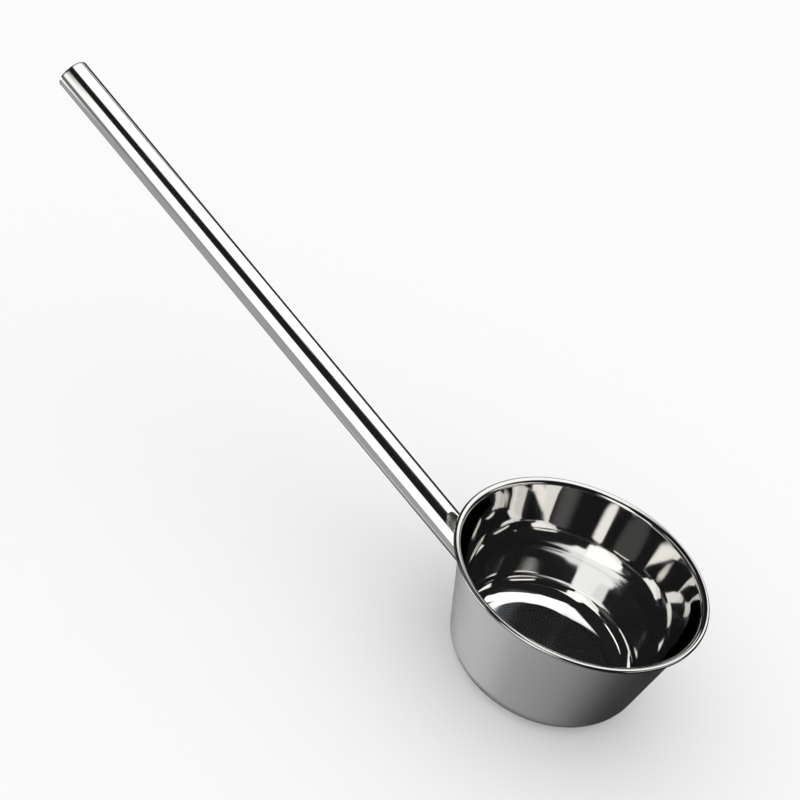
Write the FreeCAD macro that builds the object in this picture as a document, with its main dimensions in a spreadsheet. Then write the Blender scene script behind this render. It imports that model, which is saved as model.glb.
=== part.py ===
import FreeCAD, Part
import math
import os

import Sketcher

# Frame: the bowl's axis is Z, its flat base stands on z = 0, and the handle
# rises away from it in the XZ plane, towards -X. All lengths are millimetres.

# Driving sizes: alias, value, meaning
SIZES = (
    ("rim_radius", 84.5, "bowl axis to the outermost point of the rolled rim"),
    ("bowl_height", 87.5, "base to the top of the rolled rim"),
    ("base_flat_radius", 48.0, "radius of the flat that the bowl stands on"),
    ("base_bend_radius", 18.0, "outside radius of the first bend, round the base"),
    ("base_bend_turn_angle", 53.0, "degrees that the first bend turns before the second"),
    ("corner_radius", 21.5, "outside radius of the second bend, below the wall"),
    ("sheet_thickness", 0.7, "drawn steel sheet of the bowl"),
    ("neck_radius", 3.3, "outside radius where the wall flares to the rim"),
    ("neck_turn_angle", 84.0, "degrees from upright at which the flare ends"),
    ("roll_radius", 1.55, "outside radius of the rolled rim"),
    ("roll_turn_angle", 330.0, "degrees from upright at which the roll ends"),
    ("handle_radius", 11.0, "outside radius of the handle tube"),
    ("handle_wall", 0.8, "wall of the handle tube"),
    ("handle_reach", 491.0, "bowl axis to the end of the tube, along the handle"),
    ("handle_rise_angle", 25.0, "degrees that the handle rises above the base plane"),
    ("handle_aim", 15.0, "height at which the handle's axis meets the bowl's"),
    ("weld_radius", 2.5, "radius of the weld's hollow face"),
    ("cap_head", 1.6, "thickness of the end cap's head"),
    ("cap_edge", 1.1, "rounding of the end cap's outer edge"),
    ("cap_skirt", 7.0, "depth of the end cap's skirt inside the tube"),
    ("cap_wall", 0.8, "wall of the end cap's skirt"),
    ("cap_clearance", 0.05, "gap all round between the skirt and the bore"),
)

# Ends of a sketch line or arc, and the sketch's own origin and axes
START = 1
END = 2
CENTRE = 3
ORIGIN = -1
WHOLE_DEGREES = 360.0
SQUARE_DEGREES = 90.0
HALF_DEGREES = 180.0

document = FreeCAD.newDocument("water_dipper")


def make_sizes():
    """Writes each size, its name and its meaning on one row of the sheet."""
    sheet = document.addObject("Spreadsheet::Sheet", "sizes")
    for row, (alias, value, meaning) in enumerate(SIZES, start=1):
        sheet.set(f"A{row}", alias)
        sheet.set(f"B{row}", str(value))
        sheet.setAlias(f"B{row}", alias)
        sheet.set(f"C{row}", meaning)
    document.recompute()
    return sheet


sizes = make_sizes()


def new_body(name):
    """A body whose label is also the name of its file."""
    body = document.addObject("PartDesign::Body", name)
    body.Label = name
    return body


def new_sketch(body, name, plane_role):
    """A sketch on one of the body's own origin planes."""
    sketch = body.newObject("Sketcher::SketchObject", name)
    planes = [plane for plane in body.Origin.OriginFeatures if plane.Role == plane_role]
    sketch.AttachmentSupport = [(planes[0], "")]
    sketch.MapMode = "FlatFace"
    return sketch


def polar(centre, radius, degrees):
    """The sketch point at an angle and a distance from a centre."""
    angle = math.radians(degrees)
    return centre + FreeCAD.Vector(radius * math.cos(angle), radius * math.sin(angle), 0)


def add_line(sketch, start, end, construction=False):
    return sketch.addGeometry(Part.LineSegment(start, end), construction)


def add_arc(sketch, centre, radius, low_degrees, high_degrees):
    circle = Part.Circle(centre, FreeCAD.Vector(0, 0, 1), radius)
    arc = Part.ArcOfCircle(circle, math.radians(low_degrees), math.radians(high_degrees))
    return sketch.addGeometry(arc, False)


def meet(sketch, first, first_end, second, second_end):
    sketch.addConstraint(Sketcher.Constraint("Coincident", first, first_end, second, second_end))


def run_on(sketch, first, first_end, second, second_end):
    """The two ends meet and share one tangent."""
    sketch.addConstraint(Sketcher.Constraint("Tangent", first, first_end, second, second_end))


def lie_on(sketch, point_owner, point_end, curve):
    sketch.addConstraint(
        Sketcher.Constraint("PointOnObject", point_owner, point_end, curve))


def direct(sketch, kind, line):
    sketch.addConstraint(Sketcher.Constraint(kind, line))


def drive(sketch, expression, value, kind, *where):
    """A dimension that follows an expression of the sizes."""
    index = sketch.addConstraint(Sketcher.Constraint(kind, *where, value))
    sketch.setExpression(f"Constraints[{index}]", expression)


def bowl_layout():
    """The centres of the bend, corner, neck and roll, and the wall's lean from upright."""
    roll_centre = FreeCAD.Vector(
        sizes.rim_radius - sizes.roll_radius, sizes.bowl_height - sizes.roll_radius, 0)
    neck_offset = sizes.neck_radius + sizes.sheet_thickness - sizes.roll_radius
    neck_centre = polar(roll_centre, neck_offset, -sizes.neck_turn_angle)
    bend_centre = FreeCAD.Vector(sizes.base_flat_radius, sizes.base_bend_radius, 0)
    corner_centre = polar(
        bend_centre, sizes.corner_radius - sizes.base_bend_radius,
        SQUARE_DEGREES + sizes.base_bend_turn_angle)
    between = neck_centre - corner_centre
    turn = math.asin((sizes.corner_radius + sizes.neck_radius) / between.Length)
    lean = math.degrees(math.atan2(between.x, between.y) - turn)
    return bend_centre, corner_centre, neck_centre, roll_centre, lean


def draw_outside(sketch):
    """The bowl's outside face from the middle of the base to the end of the flare."""
    bend_centre, corner_centre, neck_centre, roll_centre, lean = bowl_layout()
    origin = FreeCAD.Vector(0, 0, 0)
    base_edge = FreeCAD.Vector(sizes.base_flat_radius, 0, 0)
    bend_end = sizes.base_bend_turn_angle - SQUARE_DEGREES
    neck_low = HALF_DEGREES - sizes.neck_turn_angle
    neck_high = HALF_DEGREES - lean

    base = add_line(sketch, origin, base_edge)
    bend = add_arc(sketch, bend_centre, sizes.base_bend_radius, -SQUARE_DEGREES, bend_end)
    corner = add_arc(sketch, corner_centre, sizes.corner_radius, bend_end, -lean)
    wall = add_line(
        sketch,
        polar(corner_centre, sizes.corner_radius, -lean),
        polar(neck_centre, sizes.neck_radius, neck_high))
    neck = add_arc(sketch, neck_centre, sizes.neck_radius, neck_low, neck_high)
    spoke = add_line(sketch, neck_centre, roll_centre, construction=True)
    bend_spoke = add_line(sketch, bend_centre, corner_centre, construction=True)

    meet(sketch, base, START, ORIGIN, START)
    direct(sketch, "Horizontal", base)
    run_on(sketch, base, END, bend, START)
    run_on(sketch, bend, END, corner, START)
    run_on(sketch, corner, END, wall, START)
    run_on(sketch, wall, END, neck, END)
    meet(sketch, bend_spoke, START, bend, CENTRE)
    meet(sketch, bend_spoke, END, corner, CENTRE)
    meet(sketch, spoke, START, neck, CENTRE)
    lie_on(sketch, neck, START, spoke)

    drive(sketch, "sizes.base_flat_radius", sizes.base_flat_radius,
          "DistanceX", ORIGIN, START, base, END)
    drive(sketch, "sizes.base_bend_radius", sizes.base_bend_radius, "Radius", bend)
    drive(sketch, "sizes.corner_radius", sizes.corner_radius, "Radius", corner)
    drive(sketch, f"({SQUARE_DEGREES} + sizes.base_bend_turn_angle) * 1 deg",
          math.radians(SQUARE_DEGREES + sizes.base_bend_turn_angle), "Angle", bend_spoke)
    drive(sketch, "sizes.neck_radius", sizes.neck_radius, "Radius", neck)
    drive(sketch, "sizes.rim_radius - sizes.roll_radius", roll_centre.x,
          "DistanceX", ORIGIN, START, spoke, END)
    drive(sketch, "sizes.bowl_height - sizes.roll_radius", roll_centre.y,
          "DistanceY", ORIGIN, START, spoke, END)
    drive(sketch, "sizes.neck_radius + sizes.sheet_thickness - sizes.roll_radius",
          (roll_centre - neck_centre).Length, "Distance", spoke)
    drive(sketch, f"({HALF_DEGREES} - sizes.neck_turn_angle) * 1 deg",
          math.radians(neck_low), "Angle", spoke)
    return bend, corner, neck, spoke


def spin(body, sketch, name):
    """Turns the section once round the sketch's upright axis."""
    turned = body.newObject("PartDesign::Revolution", name)
    turned.Profile = sketch
    turned.ReferenceAxis = (sketch, ["V_Axis"])
    turned.Angle = WHOLE_DEGREES
    sketch.Visibility = False
    return turned


def make_bowl_shell():
    """One drawn sheet: base, two bends, wall, flare and the rim rolled outwards."""
    body = new_body("bowl_shell")
    sketch = new_sketch(body, "bowl_section", "XZ_Plane")
    bend, corner, neck, spoke = draw_outside(sketch)
    bend_centre, corner_centre, neck_centre, roll_centre, lean = bowl_layout()
    thick = sizes.sheet_thickness
    neck_low = HALF_DEGREES - sizes.neck_turn_angle
    neck_high = HALF_DEGREES - lean
    roll_low = HALF_DEGREES - sizes.roll_turn_angle
    hollow_radius = sizes.roll_radius - thick
    bend_end = sizes.base_bend_turn_angle - SQUARE_DEGREES
    inner_bend = sizes.base_bend_radius - thick
    inner_corner = sizes.corner_radius - thick
    inner_neck = sizes.neck_radius + thick
    inner_base_edge = FreeCAD.Vector(sizes.base_flat_radius, thick, 0)
    inner_middle = FreeCAD.Vector(0, thick, 0)

    roll_hollow = add_arc(sketch, roll_centre, hollow_radius, roll_low, neck_low)
    lip = add_line(
        sketch,
        polar(roll_centre, sizes.roll_radius, roll_low),
        polar(roll_centre, hollow_radius, roll_low))
    roll = add_arc(sketch, roll_centre, sizes.roll_radius, roll_low, neck_low)
    neck_inside = add_arc(sketch, neck_centre, inner_neck, neck_low, neck_high)
    wall_inside = add_line(
        sketch,
        polar(neck_centre, inner_neck, neck_high),
        polar(corner_centre, inner_corner, -lean))
    corner_inside = add_arc(sketch, corner_centre, inner_corner, bend_end, -lean)
    bend_inside = add_arc(sketch, bend_centre, inner_bend, -SQUARE_DEGREES, bend_end)
    base_inside = add_line(sketch, inner_base_edge, inner_middle)
    middle = add_line(sketch, inner_middle, FreeCAD.Vector(0, 0, 0))

    meet(sketch, roll_hollow, CENTRE, spoke, END)
    meet(sketch, roll_hollow, END, neck, START)
    meet(sketch, lip, START, roll, START)
    meet(sketch, lip, END, roll_hollow, START)
    meet(sketch, roll, CENTRE, spoke, END)
    lie_on(sketch, spoke, END, lip)
    lie_on(sketch, roll, END, spoke)
    meet(sketch, neck_inside, CENTRE, neck, CENTRE)
    meet(sketch, neck_inside, START, roll, END)
    run_on(sketch, neck_inside, END, wall_inside, START)
    run_on(sketch, wall_inside, END, corner_inside, END)
    meet(sketch, corner_inside, CENTRE, corner, CENTRE)
    run_on(sketch, corner_inside, START, bend_inside, END)
    meet(sketch, bend_inside, CENTRE, bend, CENTRE)
    run_on(sketch, bend_inside, START, base_inside, START)
    direct(sketch, "Horizontal", base_inside)
    meet(sketch, base_inside, END, middle, START)
    meet(sketch, middle, END, ORIGIN, START)
    direct(sketch, "Vertical", middle)

    drive(sketch, "sizes.roll_radius", sizes.roll_radius, "Radius", roll)
    drive(sketch, f"({WHOLE_DEGREES} - sizes.roll_turn_angle) * 1 deg",
          math.radians(WHOLE_DEGREES - sizes.roll_turn_angle), "Angle", lip)
    drive(sketch, "sizes.sheet_thickness", thick, "Distance", middle)
    spin(body, sketch, "bowl_turned")
    return body


def draw_filled_bowl(body, name):
    """The bowl's outside face, closed level with the end of the flare."""
    sketch = new_sketch(body, name, "XZ_Plane")
    neck = draw_outside(sketch)[2]
    neck_centre = bowl_layout()[2]
    flare_end = polar(neck_centre, sizes.neck_radius, HALF_DEGREES - sizes.neck_turn_angle)
    lid_middle = FreeCAD.Vector(0, flare_end.y, 0)
    lid = add_line(sketch, flare_end, lid_middle)
    middle = add_line(sketch, lid_middle, FreeCAD.Vector(0, 0, 0))
    meet(sketch, lid, START, neck, START)
    direct(sketch, "Horizontal", lid)
    meet(sketch, lid, END, middle, START)
    meet(sketch, middle, END, ORIGIN, START)
    direct(sketch, "Vertical", middle)
    return spin(body, sketch, name + "_turned")


def lay_along_handle(item, distance):
    """Turns an item's own Z to the handle's axis and moves it that far along it."""
    item.Placement = FreeCAD.Placement(
        FreeCAD.Vector(0, 0, 0), FreeCAD.Rotation(FreeCAD.Vector(0, -1, 0), SQUARE_DEGREES))
    rise = "sizes.handle_rise_angle * 1 deg"
    item.setExpression("Placement.Base.x", f"-({distance}) * cos({rise})")
    item.setExpression("Placement.Base.z", f"sizes.handle_aim + ({distance}) * sin({rise})")
    item.setExpression("Placement.Rotation.Angle", f"{SQUARE_DEGREES} deg - {rise}")


def handle_rod(rod, radius):
    """Makes a cylinder reach from inside the bowl to the tube's free end."""
    lay_along_handle(rod, "sizes.base_flat_radius")
    rod.setExpression("Radius", radius)
    rod.setExpression("Height", "sizes.handle_reach - sizes.base_flat_radius")
    return rod


def cut_away(name, base, tool):
    """What is left of one object outside another."""
    cut = document.addObject("Part::Cut", name)
    cut.Label = name
    cut.Base = base
    cut.Tool = tool
    return cut


def make_handle_tube(filled_bowl, full_rod):
    """The bored tube, its near end shaped to the bowl's outside."""
    bore = document.addObject("Part::Cylinder", "handle_bore")
    handle_rod(bore, "sizes.handle_radius - sizes.handle_wall")
    straight_tube = cut_away("straight_tube", full_rod, bore)
    return cut_away("handle_tube", straight_tube, filled_bowl)


def weld_line(shape):
    """The name of the edge in which the handle's round face meets the bowl's wall."""
    for number, edge in enumerate(shape.Edges, start=1):
        owners = shape.ancestorsOfType(edge, Part.Face)
        kinds = {type(face.Surface).__name__ for face in owners}
        if kinds == {"Cone", "Cylinder"}:
            return f"Edge{number}"
    raise RuntimeError("The handle doesn't meet the bowl's wall.")


def make_weld_bead():
    """The ring of weld metal in the corner between the tube and the wall."""
    body = new_body("weld_blank")
    draw_filled_bowl(body, "weld_bowl")
    rod = handle_rod(body.newObject("PartDesign::AdditiveCylinder", "weld_rod"), "sizes.handle_radius")
    document.recompute()
    rounding = body.newObject("PartDesign::Fillet", "weld_rounding")
    rounding.Base = (rod, [weld_line(rod.Shape)])
    rounding.setExpression("Radius", "sizes.weld_radius")
    document.recompute()
    return cut_away("weld_bead", body, rod)


def add_disc(sketch, radius, expression):
    circle = sketch.addGeometry(
        Part.Circle(FreeCAD.Vector(0, 0, 0), FreeCAD.Vector(0, 0, 1), radius), False)
    meet(sketch, circle, CENTRE, ORIGIN, START)
    drive(sketch, expression, radius, "Radius", circle)


def make_handle_end_cap():
    """A round head that closes the tube's end, with a skirt that plugs its bore."""
    body = new_body("handle_end_cap")
    head_sketch = new_sketch(body, "cap_head_circle", "XY_Plane")
    add_disc(head_sketch, sizes.handle_radius, "sizes.handle_radius")
    head = body.newObject("PartDesign::Pad", "cap_head_pad")
    head.Profile = head_sketch
    head.setExpression("Length", "sizes.cap_head")

    skirt_radius = sizes.handle_radius - sizes.handle_wall - sizes.cap_clearance
    skirt_expression = "sizes.handle_radius - sizes.handle_wall - sizes.cap_clearance"
    skirt_sketch = new_sketch(body, "cap_skirt_circles", "XY_Plane")
    add_disc(skirt_sketch, skirt_radius, skirt_expression)
    add_disc(skirt_sketch, skirt_radius - sizes.cap_wall, skirt_expression + " - sizes.cap_wall")
    skirt = body.newObject("PartDesign::Pad", "cap_skirt_pad")
    skirt.Profile = skirt_sketch
    skirt.Reversed = True
    skirt.setExpression("Length", "sizes.cap_skirt")
    document.recompute()

    top_edges = [
        f"Edge{number}" for number, edge in enumerate(skirt.Shape.Edges, start=1)
        if edge.BoundBox.ZMin > sizes.cap_head / 2 and edge.isClosed()]
    rounding = body.newObject("PartDesign::Fillet", "cap_rounding")
    rounding.Base = (skirt, top_edges)
    rounding.setExpression("Radius", "sizes.cap_edge")
    lay_along_handle(body, "sizes.handle_reach")
    return body


def check(parts):
    """Stops with a message if any feature failed or any sub-part isn't one sound solid."""
    for item in document.Objects:
        if "Invalid" in item.State or "Error" in item.State:
            raise RuntimeError(f"{item.Name} is {item.State}")
    for part in parts:
        shape = part.Shape
        if shape.isNull() or not shape.isValid() or len(shape.Solids) != 1:
            raise RuntimeError(f"{part.Label} isn't one valid solid")


def export(parts):
    os.makedirs("parts", exist_ok=True)
    for part in parts:
        part.Shape.exportStep(os.path.join("parts", part.Label + ".step"))
        box = part.Shape.optimalBoundingBox()
        print(f"{part.Label}: volume {part.Shape.Volume:.1f}, "
              f"x {box.XMin:.2f}..{box.XMax:.2f}, y {box.YMin:.2f}..{box.YMax:.2f}, "
              f"z {box.ZMin:.2f}..{box.ZMax:.2f}")


bowl_shell = make_bowl_shell()
filled_body = new_body("filled_bowl")
draw_filled_bowl(filled_body, "filled_section")
handle_solid = handle_rod(document.addObject("Part::Cylinder", "handle_solid"), "sizes.handle_radius")
handle_tube = make_handle_tube(filled_body, handle_solid)
weld_bead = make_weld_bead()
handle_end_cap = make_handle_end_cap()
document.recompute()

sub_parts = (bowl_shell, handle_tube, weld_bead, handle_end_cap)
check(sub_parts)
export(sub_parts)
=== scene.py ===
import math

import bpy
from mathutils import Matrix, Vector


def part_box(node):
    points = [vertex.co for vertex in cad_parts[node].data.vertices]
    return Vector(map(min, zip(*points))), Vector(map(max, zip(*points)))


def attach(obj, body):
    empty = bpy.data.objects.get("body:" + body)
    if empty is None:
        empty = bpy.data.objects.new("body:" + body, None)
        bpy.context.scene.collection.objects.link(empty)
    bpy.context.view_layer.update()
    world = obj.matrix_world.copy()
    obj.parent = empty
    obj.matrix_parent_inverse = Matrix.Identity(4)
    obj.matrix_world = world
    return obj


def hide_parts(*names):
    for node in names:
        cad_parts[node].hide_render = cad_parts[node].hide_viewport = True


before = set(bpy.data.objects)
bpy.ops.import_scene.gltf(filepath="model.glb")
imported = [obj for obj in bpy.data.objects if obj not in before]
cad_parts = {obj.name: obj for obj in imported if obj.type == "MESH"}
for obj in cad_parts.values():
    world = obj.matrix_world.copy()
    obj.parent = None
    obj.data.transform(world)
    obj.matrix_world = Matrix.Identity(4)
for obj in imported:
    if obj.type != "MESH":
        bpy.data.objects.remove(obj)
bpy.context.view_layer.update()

# Frame: the bowl's axis is +Z, its base stands on z = 0, and the handle rises
# towards -X. All lengths are metres.
MM = 0.001

# Bowl
RIM_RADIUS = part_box("bowl_shell")[1].y
BOWL_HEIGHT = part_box("bowl_shell")[1].z
FLAT_RADIUS = 48.0 * MM
BEND_RADIUS = 18.0 * MM
BEND_TURN = 53.0
CORNER_RADIUS = 21.5 * MM
SHEET = 0.7 * MM
NECK_RADIUS = 3.3 * MM
NECK_TURN = 84.0
ROLL_RADIUS = 1.55 * MM
ROLL_TURN = 330.0
BOWL_SEGMENTS = 384

# Handle
HANDLE_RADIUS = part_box("handle_tube")[1].y
HANDLE_WALL = 0.8 * MM
HANDLE_REACH = 491.0 * MM
HANDLE_RISE = math.radians(25.0)
HANDLE_AIM = 15.0 * MM
HANDLE_SEGMENTS = 128
HANDLE_RINGS = 40
HANDLE_LEAD = 2.0 * MM
HALVINGS = 48
ALONG = Vector((-math.cos(HANDLE_RISE), 0.0, math.sin(HANDLE_RISE)))
SIDE = Vector((0.0, 1.0, 0.0))
TOP = Vector((math.sin(HANDLE_RISE), 0.0, math.cos(HANDLE_RISE)))

# End cap
CAP_HEAD = 1.6 * MM
CAP_EDGE = 1.1 * MM
CAP_SKIRT = 7.0 * MM
CAP_WALL = 0.8 * MM
CAP_GAP = 0.05 * MM
SEAM = 0.12 * MM

# Weld
WELD_RADIUS = 2.3 * MM
WELD_RIPPLES = 58
WELD_RELIEF = 0.16 * MM
WELD_SEGMENTS = 696
WELD_STEPS = 9
WELD_DEPTH = 0.2 * MM

# Degrees of a square corner and of half a turn
SQUARE = 90.0
HALF = 180.0

# A radius below the first lies on the axis; points nearer than the second are one
ON_AXIS = 1e-9
SAME_POINT = 1e-7


def polar(centre, radius, degrees):
    """The point of the bowl's section at an angle and a distance from a centre."""
    angle = math.radians(degrees)
    return centre[0] + radius * math.cos(angle), centre[1] + radius * math.sin(angle)


def arc(centre, radius, first, last, steps):
    """Evenly spaced points of a circle, both ends among them."""
    turn = (last - first) / steps
    return [polar(centre, radius, first + turn * k) for k in range(steps + 1)]


def line(first, last, steps):
    """Evenly spaced points between two points, both among them."""
    return [
        (first[0] + (last[0] - first[0]) * k / steps,
         first[1] + (last[1] - first[1]) * k / steps)
        for k in range(steps + 1)
    ]


ROLL_CENTRE = (RIM_RADIUS - ROLL_RADIUS, BOWL_HEIGHT - ROLL_RADIUS)
NECK_CENTRE = polar(ROLL_CENTRE, NECK_RADIUS + SHEET - ROLL_RADIUS, -NECK_TURN)
BEND_CENTRE = (FLAT_RADIUS, BEND_RADIUS)
CORNER_CENTRE = polar(BEND_CENTRE, CORNER_RADIUS - BEND_RADIUS, SQUARE + BEND_TURN)
NECK_ACROSS = NECK_CENTRE[0] - CORNER_CENTRE[0]
NECK_UP = NECK_CENTRE[1] - CORNER_CENTRE[1]
LEAN = math.degrees(
    math.atan2(NECK_ACROSS, NECK_UP)
    - math.asin((CORNER_RADIUS + NECK_RADIUS) / math.hypot(NECK_ACROSS, NECK_UP)))
WALL_FOOT = polar(CORNER_CENTRE, CORNER_RADIUS, -LEAN)


def finish_mesh(name, points, faces, materials, sharp_degrees=40.0, indices=None):
    """A smooth-shaded object with outward faces and sharp edges at real corners."""
    mesh = bpy.data.meshes.new(name)
    mesh.from_pydata([tuple(p) for p in points], [], faces)
    for material in materials:
        mesh.materials.append(material)
    if indices:
        mesh.polygons.foreach_set("material_index", indices)
    mesh.validate()
    mesh.shade_smooth()
    mesh.set_sharp_from_angle(angle=math.radians(sharp_degrees))
    made = bpy.data.objects.new(name, mesh)
    bpy.context.scene.collection.objects.link(made)
    return made


def lathe(section, segments, place):
    """Points and faces of a closed section turned round its axis.

    section holds (radius, height) from the axis at the bottom outside to the
    axis inside, or a closed loop away from the axis. place turns cosine, sine,
    radius and height into a point.
    """
    points, rings = [], []
    for radius, height in section:
        if radius < ON_AXIS:
            rings.append([len(points)])
            points.append(place(1.0, 0.0, 0.0, height))
            continue
        rings.append(list(range(len(points), len(points) + segments)))
        for k in range(segments):
            turn = 2.0 * math.pi * k / segments
            points.append(place(math.cos(turn), math.sin(turn), radius, height))
    closed = len(rings[0]) > 1 and len(rings[-1]) > 1
    faces, spans = [], []
    last = len(rings) if closed else len(rings) - 1
    for index in range(last):
        low, high = rings[index], rings[(index + 1) % len(rings)]
        for k in range(segments):
            after = (k + 1) % segments
            if len(low) == 1:
                faces.append((low[0], high[after], high[k]))
            elif len(high) == 1:
                faces.append((low[k], low[after], high[0]))
            else:
                faces.append((low[k], low[after], high[after], high[k]))
            spans.append(index)
    return points, faces, spans


def link_value(tree, value, socket):
    """Links a node's output, or sets a constant, on a socket."""
    if isinstance(value, bpy.types.NodeSocket):
        tree.links.new(value, socket)
    else:
        socket.default_value = value


class Graph:
    """Short forms for the shader nodes that this scene uses."""

    def __init__(self, tree):
        self.tree = tree
        tree.nodes.clear()

    def node(self, kind, **inputs):
        made = self.tree.nodes.new(kind)
        for name, value in inputs.items():
            link_value(self.tree, value, made.inputs[name])
        return made

    def math(self, operation, *values):
        made = self.tree.nodes.new("ShaderNodeMath")
        made.operation = operation
        for value, socket in zip(values, made.inputs):
            link_value(self.tree, value, socket)
        return made.outputs[0]

    def vector(self, operation, *values):
        made = self.tree.nodes.new("ShaderNodeVectorMath")
        made.operation = operation
        for value, socket in zip(values, made.inputs):
            link_value(self.tree, value, socket)
        return made.outputs["Value" if operation in ("DOT_PRODUCT", "LENGTH") else "Vector"]

    def combine(self, x, y, z):
        return self.node("ShaderNodeCombineXYZ", X=x, Y=y, Z=z).outputs[0]

    def ramp(self, value, low, high, to_low=0.0, to_high=1.0, smooth=True):
        """value taken from low..high to to_low..to_high, held outside."""
        made = self.tree.nodes.new("ShaderNodeMapRange")
        made.interpolation_type = "SMOOTHSTEP" if smooth else "LINEAR"
        link_value(self.tree, value, made.inputs["Value"])
        made.inputs["From Min"].default_value = low
        made.inputs["From Max"].default_value = high
        made.inputs["To Min"].default_value = to_low
        made.inputs["To Max"].default_value = to_high
        return made.outputs["Result"]

    def noise(self, vector, scale, detail=2.0, roughness=0.5):
        made = self.node("ShaderNodeTexNoise", Vector=vector, Scale=scale,
                         Detail=detail, Roughness=roughness)
        return made.outputs["Fac"]

    def mix(self, factor, first, second, blend="MIX"):
        made = self.tree.nodes.new("ShaderNodeMix")
        made.data_type = "RGBA"
        made.blend_type = blend
        link_value(self.tree, factor, made.inputs[0])
        link_value(self.tree, first, made.inputs[6])
        link_value(self.tree, second, made.inputs[7])
        return made.outputs[2]

    def bump(self, height, distance, strength=1.0, normal=None):
        made = self.node("ShaderNodeBump", Height=height, Distance=distance,
                         Strength=strength)
        if normal is not None:
            self.tree.links.new(normal, made.inputs["Normal"])
        return made.outputs[0]


def steel(name):
    """An empty metal material: its graph, shader and object coordinates."""
    material = bpy.data.materials.new(name)
    material.use_nodes = True
    graph = Graph(material.node_tree)
    shader = graph.node("ShaderNodeBsdfPrincipled")
    shader.inputs["Metallic"].default_value = 1.0
    output = graph.node("ShaderNodeOutputMaterial")
    graph.tree.links.new(shader.outputs[0], output.inputs["Surface"])
    place = graph.node("ShaderNodeTexCoord").outputs["Object"]
    return material, graph, shader, place


def dress(graph, shader, colour, roughness, normal):
    """Joins the painted colour, roughness and normal to the shader."""
    for value, name in ((colour, "Base Color"), (roughness, "Roughness"), (normal, "Normal")):
        if value is not None:
            link_value(graph.tree, value, shader.inputs[name])


def turned_lines(graph, place, along, around):
    """Coordinates that run fast along the bowl's section and slowly round it, and
    the height."""
    split = graph.node("ShaderNodeSeparateXYZ", Vector=place)
    x, y, z = split.outputs
    radius = graph.math("SQRT", graph.math(
        "ADD", graph.math("MULTIPLY", x, x), graph.math("MULTIPLY", y, y)))
    run = graph.math("MULTIPLY", graph.math("ADD", radius, z), along)
    lines = graph.combine(graph.math("MULTIPLY", x, around),
                          graph.math("MULTIPLY", y, around), run)
    return lines, z


def satin_outside():
    """Satin finish with fine turned lines, faint clouds and wear at the base."""
    material, graph, shader, place = steel("steel_satin_outside")
    lines, height = turned_lines(graph, place, 2600.0, 14.0)
    fine = graph.noise(lines, 1.0, 3.0, 0.6)
    cloud = graph.noise(place, 38.0, 3.0, 0.55)
    wear = graph.ramp(height, 0.0, 0.006, 0.06, 0.0)
    tone = graph.mix(cloud, (0.88, 0.88, 0.88, 1.0), (0.92, 0.92, 0.92, 1.0))
    rough = graph.math("ADD", graph.ramp(cloud, 0.3, 0.7, 0.38, 0.43), graph.math(
        "MULTIPLY", graph.math("SUBTRACT", fine, 0.5), 0.08))
    rough = graph.math("ADD", rough, wear)
    dress(graph, shader, tone, rough, graph.bump(fine, 0.00002, 0.6))
    return material


def polished_inside():
    """Mirror polish with slow waves in the sheet, polishing lines and dried drops."""
    material, graph, shader, place = steel("steel_polished_inside")
    lines, _ = turned_lines(graph, place, 1900.0, 9.0)
    fine = graph.noise(lines, 1.0, 3.0, 0.6)
    wave = graph.noise(place, 26.0, 1.0, 0.4)
    smudge = graph.noise(place, 55.0, 4.0, 0.6)
    tone = graph.mix(smudge, (0.80, 0.795, 0.785, 1.0), (0.84, 0.836, 0.828, 1.0))
    rough = graph.math("ADD", graph.ramp(smudge, 0.42, 0.72, 0.02, 0.05), graph.math(
        "MULTIPLY", fine, 0.015))
    normal = graph.bump(wave, 0.00003, 0.25)
    dress(graph, shader, tone, rough, graph.bump(fine, 0.000003, 0.4, normal))
    return material


def satin_base():
    """The inside of the base: left dull by the press, with fine turned lines."""
    material, graph, shader, place = steel("steel_dull_base")
    lines, _ = turned_lines(graph, place, 3000.0, 12.0)
    fine = graph.noise(lines, 1.0, 3.0, 0.6)
    grain = graph.noise(place, 900.0, 2.0, 0.6)
    tone = graph.mix(grain, (0.78, 0.785, 0.80, 1.0), (0.82, 0.825, 0.84, 1.0))
    rough = graph.math("ADD", graph.ramp(grain, 0.3, 0.7, 0.09, 0.10), graph.math(
        "MULTIPLY", fine, 0.02))
    dress(graph, shader, tone, rough, graph.bump(fine, 0.000002, 0.4))
    return material


def polished_rim():
    """The rolled rim: bright, with small nicks from use."""
    material, graph, shader, place = steel("steel_polished_rim")
    nick = graph.noise(place, 260.0, 2.0, 0.5)
    smudge = graph.noise(place, 70.0, 3.0, 0.6)
    tone = graph.mix(smudge, (0.60, 0.595, 0.59, 1.0), (0.67, 0.665, 0.66, 1.0))
    rough = graph.ramp(smudge, 0.4, 0.7, 0.06, 0.12)
    dress(graph, shader, tone, rough, graph.bump(nick, 0.00004, 0.25))
    return material


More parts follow.
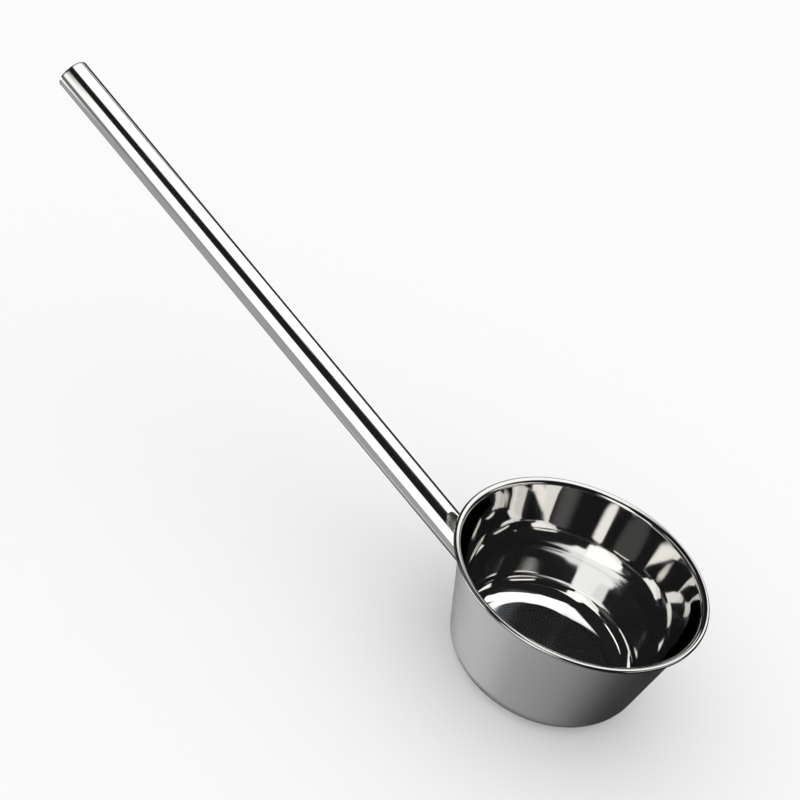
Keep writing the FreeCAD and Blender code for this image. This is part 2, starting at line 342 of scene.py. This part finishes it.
def polished_handle():
    """Polished tube with fine lines along it, soft smudges and a faint weld tint."""
    material, graph, shader, place = steel("steel_polished_handle")
    run = graph.vector("DOT_PRODUCT", place, tuple(ALONG))
    side = graph.vector("DOT_PRODUCT", place, tuple(SIDE))
    over = graph.vector("DOT_PRODUCT", place, tuple(TOP))
    lines = graph.combine(graph.math("MULTIPLY", run, 12.0),
                          graph.math("MULTIPLY", side, 1500.0),
                          graph.math("MULTIPLY", over, 1500.0))
    fine = graph.noise(lines, 1.0, 3.0, 0.6)
    smudge = graph.noise(place, 42.0, 4.0, 0.6)
    tone = graph.mix(smudge, (0.74, 0.738, 0.733, 1.0), (0.78, 0.778, 0.775, 1.0))
    near = graph.ramp(run, 0.078, 0.100, 0.35, 0.0)
    tone = graph.mix(near, tone, (0.78, 0.70, 0.60, 1.0))
    rough = graph.math("ADD", graph.ramp(smudge, 0.42, 0.75, 0.05, 0.10), graph.math(
        "MULTIPLY", fine, 0.03))
    dress(graph, shader, tone, rough, graph.bump(fine, 0.000004, 0.5))
    return material


def weld_with_painted_shade():
    """Weld metal with straw and blue tints in its hollows, its base colour darkened as painted
    shade of the joint.
    """
    material, graph, shader, place = steel("steel_weld_painted_shade")
    patch = graph.noise(place, 240.0, 3.0, 0.6)
    grain = graph.noise(place, 1400.0, 2.0, 0.6)
    # The dark base colour is painted shade of the joint between tube and bowl; the straw and
    # blue tints are the weld's own heat tint.
    tone = graph.mix(graph.ramp(patch, 0.35, 0.65),
                     (0.27, 0.26, 0.25, 1.0), (0.38, 0.35, 0.31, 1.0))
    tone = graph.mix(graph.ramp(patch, 0.62, 0.72, 0.0, 0.5), tone, (0.26, 0.28, 0.34, 1.0))
    rough = graph.ramp(grain, 0.3, 0.7, 0.24, 0.38)
    dress(graph, shader, tone, rough, graph.bump(grain, 0.00006, 0.5))
    return material


OUTSIDE, INSIDE, BASE, RIM = range(4)


def make_bowl():
    """The drawn sheet with its rolled rim, both faces and the lip."""
    bend_end = BEND_TURN - SQUARE
    roll_start, roll_end = HALF - NECK_TURN, HALF - ROLL_TURN
    neck_start = HALF - LEAN
    runs = (
        (OUTSIDE, line((0.0, 0.0), (FLAT_RADIUS, 0.0), 8)),
        (OUTSIDE, arc(BEND_CENTRE, BEND_RADIUS, -SQUARE, bend_end, 18)),
        (OUTSIDE, arc(CORNER_CENTRE, CORNER_RADIUS, bend_end, -LEAN, 14)),
        (OUTSIDE, line(WALL_FOOT, polar(NECK_CENTRE, NECK_RADIUS, neck_start), 12)),
        (OUTSIDE, arc(NECK_CENTRE, NECK_RADIUS, neck_start, roll_start, 14)),
        (RIM, arc(ROLL_CENTRE, ROLL_RADIUS - SHEET, roll_start, roll_end, 22)),
        (RIM, [polar(ROLL_CENTRE, ROLL_RADIUS, roll_end)]),
        (RIM, arc(ROLL_CENTRE, ROLL_RADIUS, roll_end, roll_start, 44)),
        (RIM, arc(NECK_CENTRE, NECK_RADIUS + SHEET, roll_start, neck_start, 16)),
        (INSIDE, line(polar(NECK_CENTRE, NECK_RADIUS + SHEET, neck_start),
                      polar(CORNER_CENTRE, CORNER_RADIUS - SHEET, -LEAN), 12)),
        (INSIDE, arc(CORNER_CENTRE, CORNER_RADIUS - SHEET, -LEAN, bend_end, 16)),
        (INSIDE, arc(BEND_CENTRE, BEND_RADIUS - SHEET, bend_end, -SQUARE, 24)),
        (BASE, line((FLAT_RADIUS, SHEET), (0.0, SHEET), 8)),
    )
    section, kinds = [], []
    for kind, run in runs:
        for point in run:
            if section and math.dist(point, section[-1]) < SAME_POINT:
                continue
            if section:
                kinds.append(kind)
            section.append(point)
    points, faces, spans = lathe(
        section, BOWL_SEGMENTS, lambda c, s, radius, height: (radius * c, radius * s, height))
    return finish_mesh(
        "bowl", points, faces,
        (satin_outside(), polished_inside(), satin_base(), polished_rim()),
        indices=[kinds[span] for span in spans])


def handle_point(distance, radius, turn):
    """A point round the handle's axis, at a distance along it from the bowl's axis."""
    centre = Vector((0.0, 0.0, HANDLE_AIM)) + ALONG * distance
    return centre + (SIDE * math.cos(turn) + TOP * math.sin(turn)) * radius


def wall_distance(radius, turn):
    """How far along the handle its line at that turn meets the bowl's outside wall."""
    near, far = 0.0, HANDLE_REACH
    for _ in range(HALVINGS):
        middle = (near + far) / 2.0
        point = handle_point(middle, radius, turn)
        wall = WALL_FOOT[0] + (point.z - WALL_FOOT[1]) * math.tan(math.radians(LEAN))
        if math.hypot(point.x, point.y) < wall:
            near = middle
        else:
            far = middle
    return far


def make_handle(material):
    """The bored tube, its near end shaped to the bowl and its far end broken."""
    bore = HANDLE_RADIUS - HANDLE_WALL
    turns = [2.0 * math.pi * k / HANDLE_SEGMENTS for k in range(HANDLE_SEGMENTS)]
    outer_start = [wall_distance(HANDLE_RADIUS, turn) for turn in turns]
    inner_start = [wall_distance(bore, turn) for turn in turns]
    straight = max(outer_start) + HANDLE_LEAD
    rings = [[(outer_start[k], HANDLE_RADIUS) for k in range(HANDLE_SEGMENTS)]]
    for step in range(HANDLE_RINGS + 1):
        distance = straight + (HANDLE_REACH - SEAM - straight) * step / HANDLE_RINGS
        rings.append([(distance, HANDLE_RADIUS)] * HANDLE_SEGMENTS)
    rings.append([(HANDLE_REACH, HANDLE_RADIUS - SEAM)] * HANDLE_SEGMENTS)
    rings.append([(HANDLE_REACH, bore)] * HANDLE_SEGMENTS)
    rings.append([(straight, bore)] * HANDLE_SEGMENTS)
    rings.append([(inner_start[k], bore) for k in range(HANDLE_SEGMENTS)])
    points = [
        handle_point(distance, radius, turn)
        for ring in rings for (distance, radius), turn in zip(ring, turns)
    ]
    faces = []
    for index in range(len(rings)):
        low = index * HANDLE_SEGMENTS
        high = ((index + 1) % len(rings)) * HANDLE_SEGMENTS
        for k in range(HANDLE_SEGMENTS):
            after = (k + 1) % HANDLE_SEGMENTS
            faces.append((low + k, high + k, high + after, low + after))
    return finish_mesh("handle", points, faces, (material,))


def make_cap(material):
    """The round head that closes the tube, and the skirt in its bore."""
    bore = HANDLE_RADIUS - HANDLE_WALL
    outer, inner = bore - CAP_GAP, bore - CAP_GAP - CAP_WALL
    top = HANDLE_REACH + CAP_HEAD
    edge_centre = (HANDLE_RADIUS - CAP_EDGE, top - CAP_EDGE)
    section = [
        (0.0, HANDLE_REACH), (inner * 0.5, HANDLE_REACH), (inner, HANDLE_REACH),
        (inner, HANDLE_REACH - CAP_SKIRT), (outer, HANDLE_REACH - CAP_SKIRT),
        (outer, HANDLE_REACH), (HANDLE_RADIUS - SEAM, HANDLE_REACH),
        (HANDLE_RADIUS, HANDLE_REACH + SEAM),
    ]
    section += arc(edge_centre, CAP_EDGE, 0.0, SQUARE, 12)
    section += line((HANDLE_RADIUS - CAP_EDGE, top), (0.0, top), 8)[1:]
    points, faces, _ = lathe(
        section, HANDLE_SEGMENTS,
        lambda c, s, radius, height: handle_point(height, radius, math.atan2(s, c)))
    return finish_mesh("handle_cap", points, faces, (material,))


def make_weld(material):
    """The ring of weld metal round the joint, laid in overlapping ripples."""
    lean = math.radians(LEAN)
    rings = []
    for k in range(WELD_SEGMENTS):
        turn = 2.0 * math.pi * k / WELD_SEGMENTS
        corner = handle_point(wall_distance(HANDLE_RADIUS, turn), HANDLE_RADIUS, turn)
        flat = Vector((corner.x, corner.y, 0.0)).normalized()
        wall_normal = flat * math.cos(lean) - Vector((0.0, 0.0, math.sin(lean)))
        tube_normal = (SIDE * math.cos(turn) + TOP * math.sin(turn)).normalized()
        seam = wall_normal.cross(tube_normal).normalized()
        on_tube = seam.cross(tube_normal).normalized()
        if on_tube.dot(wall_normal) < 0.0:
            on_tube = -on_tube
        on_wall = seam.cross(wall_normal).normalized()
        if on_wall.dot(tube_normal) < 0.0:
            on_wall = -on_wall
        opening = on_tube.angle(on_wall)
        leg = WELD_RADIUS / math.tan(opening / 2.0)
        ripple = (k * WELD_RIPPLES / WELD_SEGMENTS) % 1.0
        swell = WELD_RELIEF * (1.0 - ripple) ** 1.5
        centre = corner + (on_tube + on_wall).normalized() * (
            WELD_RADIUS / math.sin(opening / 2.0))
        ring = [corner - (on_tube + on_wall).normalized() * WELD_DEPTH]
        for step in range(WELD_STEPS):
            share = step / (WELD_STEPS - 1)
            start, end = corner + on_tube * leg, corner + on_wall * leg
            mixed = ((start - centre).normalized() * (1.0 - share)
                     + (end - centre).normalized() * share).normalized()
            hollow = WELD_RADIUS - swell * math.sin(math.pi * share)
            ring.append(centre + mixed * hollow)
        rings.append(ring)
    size = WELD_STEPS + 1
    points = [point for ring in rings for point in ring]
    faces = []
    for k in range(WELD_SEGMENTS):
        low, high = k * size, ((k + 1) % WELD_SEGMENTS) * size
        for step in range(size):
            after = (step + 1) % size
            faces.append((low + step, low + after, high + after, high + step))
    return finish_mesh("weld", points, faces, (material,), sharp_degrees=50.0)


handle_steel = polished_handle()
made = (
    (make_bowl(), "bowl_shell", "bowl_steel"),
    (make_handle(handle_steel), "handle_tube", "handle_steel"),
    (make_cap(handle_steel), "handle_end_cap", "handle_steel"),
    (make_weld(weld_with_painted_shade()), "weld_bead", "weld_steel"),
)
for piece, node, slot in made:
    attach(piece, "root")
    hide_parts(node)

# Camera: the photograph's view of the rim ring gives its angles and distance.
PHOTO = 800.0
CAMERA_FALL = math.radians(35.647)
CAMERA_ROLL = math.radians(18.361)
CAMERA_TURN = math.radians(20.48)
RIM_PIXELS = 134.035
CAMERA_RADII = 10.0
RIM_MIDDLE = (582.344, 568.306)
RIM_PLANE = 86.0 * MM
SENSOR = 36.0

right = Vector((math.cos(CAMERA_TURN), math.sin(CAMERA_TURN), 0.0))
away = Vector((-math.sin(CAMERA_TURN), math.cos(CAMERA_TURN), 0.0))
upward = Vector((0.0, 0.0, 1.0))


def make_camera():
    """Places the camera by the photograph's rim ring, handle edges and base."""
    cos_r, sin_r = math.cos(CAMERA_ROLL), math.sin(CAMERA_ROLL)
    cos_f, sin_f = math.cos(CAMERA_FALL), math.sin(CAMERA_FALL)
    seen_right = Vector((cos_r, sin_r, 0.0))
    seen_up = Vector((sin_r * cos_f, -cos_r * cos_f, -sin_f))
    seen_away = seen_up.cross(seen_right)
    if seen_away.z < 0.0:
        seen_away = -seen_away
    turn = Matrix((seen_right, seen_away, seen_up)).transposed() @ Matrix((right, away, upward))
    flip = Matrix(((1.0, 0.0, 0.0), (0.0, -1.0, 0.0), (0.0, 0.0, -1.0)))
    middle = Vector((
        (RIM_MIDDLE[0] - PHOTO / 2.0) / RIM_PIXELS,
        (RIM_MIDDLE[1] - PHOTO / 2.0) / RIM_PIXELS,
        CAMERA_RADII)) * RIM_RADIUS
    data = bpy.data.cameras.new("camera")
    data.sensor_width = SENSOR
    data.lens = RIM_PIXELS * CAMERA_RADII / PHOTO * SENSOR
    camera = bpy.data.objects.new("camera", data)
    spot = Vector((0.0, 0.0, RIM_PLANE)) - turn.transposed() @ middle
    camera.matrix_world = Matrix.Translation(spot) @ (flip @ turn).transposed().to_4x4()
    bpy.context.scene.collection.objects.link(camera)
    bpy.context.scene.camera = camera


FLOOR_HALF = 6.0
FLOOR_TONE = 0.97
FLOOR_DROP = 0.05 * MM


def make_floor():
    """A plain pale floor that keeps the soft shadow."""
    material = bpy.data.materials.new("floor")
    material.use_nodes = True
    graph = Graph(material.node_tree)
    shade = graph.node("ShaderNodeBsdfDiffuse", Color=(FLOOR_TONE,) * 3 + (1.0,))
    output = graph.node("ShaderNodeOutputMaterial")
    graph.tree.links.new(shade.outputs[0], output.inputs["Surface"])
    corners = [(x * FLOOR_HALF, y * FLOOR_HALF, -FLOOR_DROP)
               for x, y in ((-1, -1), (1, -1), (1, 1), (-1, 1))]
    floor = finish_mesh("floor", corners, [(0, 1, 2, 3)], (material,))
    floor.visible_glossy = False


# Studio: soft lights in a dark room, told by direction alone, as if very far off.
# Only glossy rays see them. Each is a flat card: its name, the axis it faces
# along, the axes of its width and height, the low and high edge on each of
# these where the card is at distance 1, how soft these edges are, and its
# tone, where 1 is white.
left, near, down = -right, -away, -upward
DARK = (0.015, 0.0155, 0.016, 1.0)
WHITE = (1.0, 1.0, 1.0, 1.0)
# The least part of a ray's direction towards a card, which keeps the division
# from zero, and the parts between which the card fades in
LEAST_DEPTH = 1e-4
FACING = (0.02, 0.06)
LIGHTS = (
    ("overhead", upward, right - away * 0.149, away - right * 0.4, (-0.06, 0.90), (-0.31, 1.27),
     0.05, 0.05, (1.50, 1.50, 1.48)),
    ("overhead_far", upward, right - away * 0.35, away - right * 0.4, (-0.02, 1.27),
     (-0.22, 2.70), 0.05, 0.06, (1.26, 1.24, 1.19)),
    ("overhead_edge", upward, right, away, (-0.19, 0.30), (-0.26, 0.38), 0.04, 0.05,
     (1.30, 1.30, 1.28)),
    ("overhead_dim", upward, right, away, (0.28, 0.90), (-0.32, -0.02), 0.18, 0.06,
     (0.065, 0.070, 0.080)),
    ("back_right", away, right, upward, (-0.29, 0.50), (0.36, 0.48), 0.06, 0.04,
     (1.45, 1.41, 1.35)),
    ("front", near, right - upward * 0.45, upward + right * 0.65, (-0.86, -0.17), (-0.85, 0.57),
     0.05, 0.06, (1.45, 1.43, 1.39)),
    ("front_low", near, right, upward + right * 0.65, (-1.15, -0.35), (-0.85, -0.10), 0.10, 0.10,
     (1.25, 1.24, 1.22)),
    ("front_skirt", near, right, upward, (-1.2, 0.2), (-1.2, -0.1), 0.25, 0.30,
     (0.38, 0.38, 0.38)),
    ("left_strip", left, away, upward, (-0.40, 0.50), (0.70, 0.82), 0.08, 0.012,
     (1.45, 1.40, 1.30)),
    ("left_dim", left, away, upward, (-0.9, 1.6), (0.30, 0.64), 0.3, 0.05,
     (0.09, 0.09, 0.09)),
    ("left_low", left, away, upward, (-0.42, 0.20), (-0.74, -0.38), 0.10, 0.06,
     (3.40, 3.40, 3.40)),
    ("left_spot", down, right, away, (-0.58, -0.35), (-0.34, 0.30), 0.10, 0.12,
     (0.62, 0.62, 0.62)),
    ("right_low", right, away, upward, (-0.8, 0.2), (0.18, 0.40), 0.1, 0.03,
     (1.30, 1.28, 1.25)),
    ("right_dim", right, away, upward, (-0.3, 0.5), (0.40, 0.70), 0.3, 0.10,
     (0.12, 0.12, 0.12)),
    ("ground", down, right, away, (-3.0, 0.55), (-1.4, 0.02), 0.3, 0.3,
     (0.26, 0.26, 0.26)),
    ("left_ground", down, right, away, (-3.0, -0.38), (-1.4, 1.0), 0.2, 0.4,
     (0.42, 0.42, 0.42)),
    ("back_low", away, right, upward, (-0.6, 0.6), (-1.2, -0.35), 0.3, 0.15,
     (0.16, 0.16, 0.16)),
)


def make_studio():
    """The world: white to the camera, plain to matt surfaces, the lights to metal."""
    world = bpy.data.worlds.new("studio")
    bpy.context.scene.world = world
    world.use_nodes = True
    world.cycles.sampling_method = "NONE"
    graph = Graph(world.node_tree)
    look = graph.vector("NORMALIZE", graph.node("ShaderNodeTexCoord").outputs["Generated"])
    seen = DARK
    for _, axis, wide, high, across, up, soft_w, soft_h, tone in LIGHTS:
        depth = graph.math(
            "MAXIMUM", graph.vector("DOT_PRODUCT", look, tuple(axis)), LEAST_DEPTH)
        u = graph.math("DIVIDE", graph.vector("DOT_PRODUCT", look, tuple(wide)), depth)
        v = graph.math("DIVIDE", graph.vector("DOT_PRODUCT", look, tuple(high)), depth)
        mask = graph.ramp(depth, *FACING)
        for value, (low, top), soft in ((u, across, soft_w), (v, up, soft_h)):
            mask = graph.math("MULTIPLY", mask, graph.ramp(value, low - soft, low + soft))
            mask = graph.math("MULTIPLY", mask, graph.ramp(value, top + soft, top - soft))
        seen = graph.mix(mask, seen, tone + (1.0,), "LIGHTEN")
    path = graph.node("ShaderNodeLightPath")
    to_metal = graph.node("ShaderNodeBackground", Color=seen, Strength=1.0)
    plain = graph.node("ShaderNodeBackground", Color=WHITE, Strength=1.0)
    chosen = graph.node("ShaderNodeMixShader", Fac=path.outputs["Is Glossy Ray"])
    graph.tree.links.new(plain.outputs[0], chosen.inputs[1])
    graph.tree.links.new(to_metal.outputs[0], chosen.inputs[2])
    output = graph.node("ShaderNodeOutputWorld")
    graph.tree.links.new(chosen.outputs[0], output.inputs["Surface"])


make_camera()
make_floor()
make_studio()
bpy.context.scene.view_settings.view_transform = "Standard"
